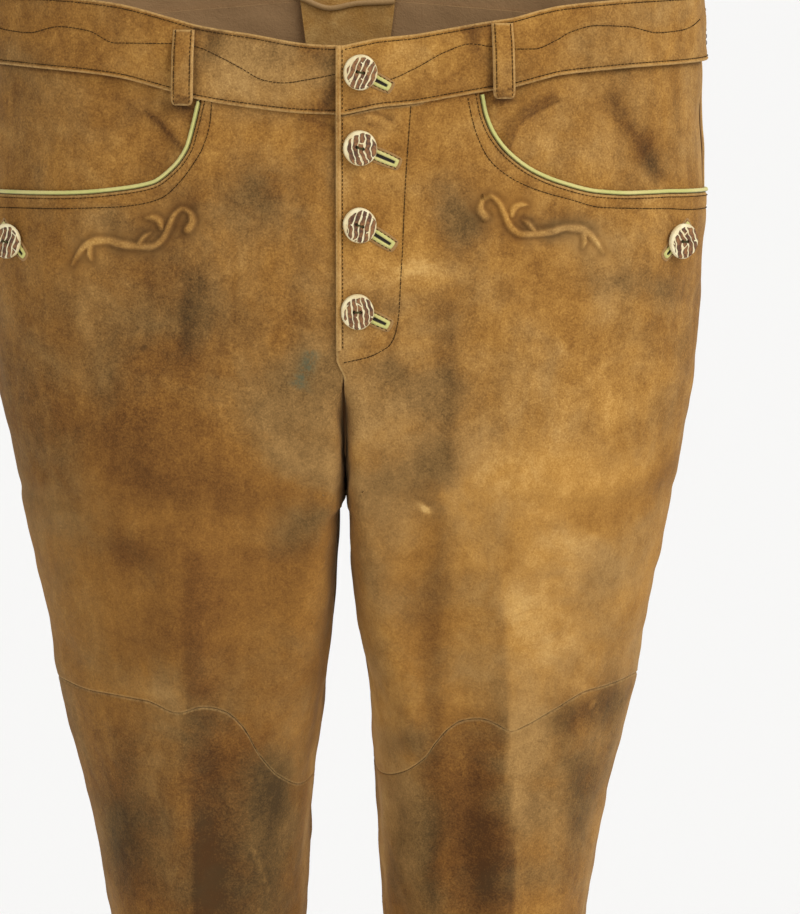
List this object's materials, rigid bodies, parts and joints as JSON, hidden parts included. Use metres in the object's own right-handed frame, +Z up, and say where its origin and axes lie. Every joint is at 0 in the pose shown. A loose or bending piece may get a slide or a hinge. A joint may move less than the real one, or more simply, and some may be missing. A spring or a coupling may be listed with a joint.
{
  "type": "lederhosen trousers",
  "caption": "Long suede folk trousers, hollow and standing as worn, with a buttoned fly, curved piped pocket mouths, raised scrolls, cross seams above the knee and a laced back notch.",
  "frame": {"origin": "middle of the waist opening, at the height of the top of the band at the sides", "axes": "+Z up, -Y to the front, +X to the wearer's left"},
  "size_m": [0.4332, 0.2472, 1.0546],
  "materials": {
    "suede": "brown suede, rubbed and mottled",
    "piping_leather": "pale green leather, matt",
    "stag_horn": "cream and brown horn, satin",
    "lace_leather": "brown leather lace, matt"
  },
  "bodies": {
    "root": {"back_gusset": "suede", "back_lace_inside": "lace_leather", "back_lace_outside": "lace_leather", "back_leg_left": "suede", "back_leg_right": "suede", "back_panel_left": "suede", "back_panel_right": "suede", "belt_loop_1": "suede", "belt_loop_2": "suede", "belt_loop_3": "suede", "belt_loop_4": "suede", "belt_loop_5": "suede", "belt_loop_6": "suede", "fly_button_1": "stag_horn", "fly_button_2": "stag_horn", "fly_button_3": "stag_horn", "fly_button_4": "stag_horn", "fly_button_stand": "suede", "fly_buttonhole_1": "piping_leather", "fly_buttonhole_2": "piping_leather", "fly_buttonhole_3": "piping_leather", "fly_buttonhole_4": "piping_leather", "fly_edge_strip": "suede", "front_leg_left": "suede", "front_leg_right": "suede", "front_panel_left": "suede", "front_panel_right": "suede", "pocket_button_left": "stag_horn", "pocket_button_right": "stag_horn", "pocket_buttonhole_left": "piping_leather", "pocket_buttonhole_right": "piping_leather", "pocket_facing_left": "suede", "pocket_facing_right": "suede", "pocket_piping_left": "piping_leather", "pocket_piping_right": "piping_leather", "relief_scroll_left": "suede", "relief_scroll_right": "suede", "waistband_left": "suede", "waistband_right": "suede"}
  },
  "joints": []
}
